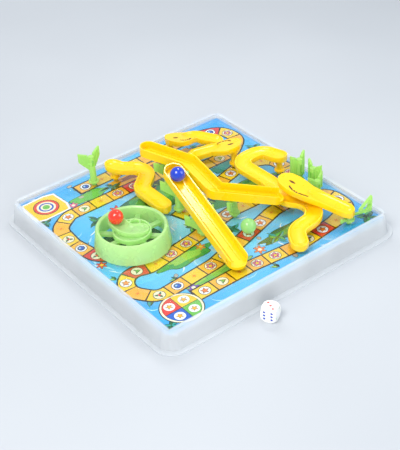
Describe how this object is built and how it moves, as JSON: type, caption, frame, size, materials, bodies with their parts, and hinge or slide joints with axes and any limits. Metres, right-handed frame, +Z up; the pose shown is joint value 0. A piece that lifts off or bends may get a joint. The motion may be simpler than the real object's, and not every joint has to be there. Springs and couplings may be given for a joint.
{
  "type": "snakes and ladders board",
  "caption": "Square game board in a clear tray with raised snake slides, ladder channels, winged stands, a turning spinner in an open drum, rolling balls and a die",
  "frame": {"origin": "middle of the whole set's bounding box, at table level", "axes": "+X to the right of a reader on the START side, +Y away from the reader, +Z up"},
  "size_m": [0.32, 0.3456, 0.0794],
  "materials": {
    "tray_clear": "clear injection moulded styrene",
    "card_print": "printed and varnished card",
    "yellow_plastic": "glossy moulded",
    "green_plastic": "glossy moulded, slightly translucent",
    "red_plastic": "glossy moulded",
    "blue_plastic": "glossy moulded",
    "leaf_plastic": "glossy moulded",
    "white_plastic": "glossy moulded",
    "clip_steel": "spring steel"
  },
  "bodies": {
    "board": {"tray": "tray_clear", "game_card": "card_print", "snake_slim": "yellow_plastic", "snake_upper": "yellow_plastic", "snake_lower": "yellow_plastic", "snake_straight": "yellow_plastic", "snake_long": "yellow_plastic", "ladder_straight": "yellow_plastic", "ladder_bent": "yellow_plastic", "leg_slim": "yellow_plastic", "leg_upper": "yellow_plastic", "leg_lower": "yellow_plastic", "leg_straight": "yellow_plastic", "leg_long_high": "yellow_plastic", "leg_long_mid": "yellow_plastic", "stand_ladder_top": "green_plastic", "stand_ladder_low": "green_plastic", "stand_straight_top": "green_plastic", "stand_straight_mid": "green_plastic", "stand_corner": "green_plastic", "stand_back": "green_plastic", "stand_right_tall": "green_plastic", "stand_right_mid": "green_plastic", "stand_right_low": "green_plastic", "spinner_drum": "green_plastic", "spinner_washer": "white_plastic"},
    "rotor": {"spinner_rotor": "green_plastic", "spinner_clip": "clip_steel"},
    "red": {"ball_red": "red_plastic"},
    "blue": {"ball_blue": "blue_plastic"},
    "green": {"ball_green": "leaf_plastic"},
    "cube": {"die": "white_plastic"}
  },
  "joints": [
    {"name": "rotor_spin", "type": "hinge", "parent": "board", "child": "rotor", "pos_m": [-0.0879, 0.00982, 0.033], "axis": [0, 0, 1], "continuous": true},
    {"name": "red_lift", "type": "slide", "parent": "rotor", "child": "red", "axis": [0, 0, 1], "range_m": [0, 0.04]},
    {"name": "blue_lift", "type": "slide", "parent": "board", "child": "blue", "axis": [0, 0, 1], "range_m": [0, 0.04]},
    {"name": "green_lift", "type": "slide", "parent": "board", "child": "green", "axis": [0, 0, 1], "range_m": [0, 0.04]},
    {"name": "die_lift", "type": "slide", "parent": "board", "child": "cube", "axis": [0, 0, 1], "range_m": [0, 0.04]}
  ]
}
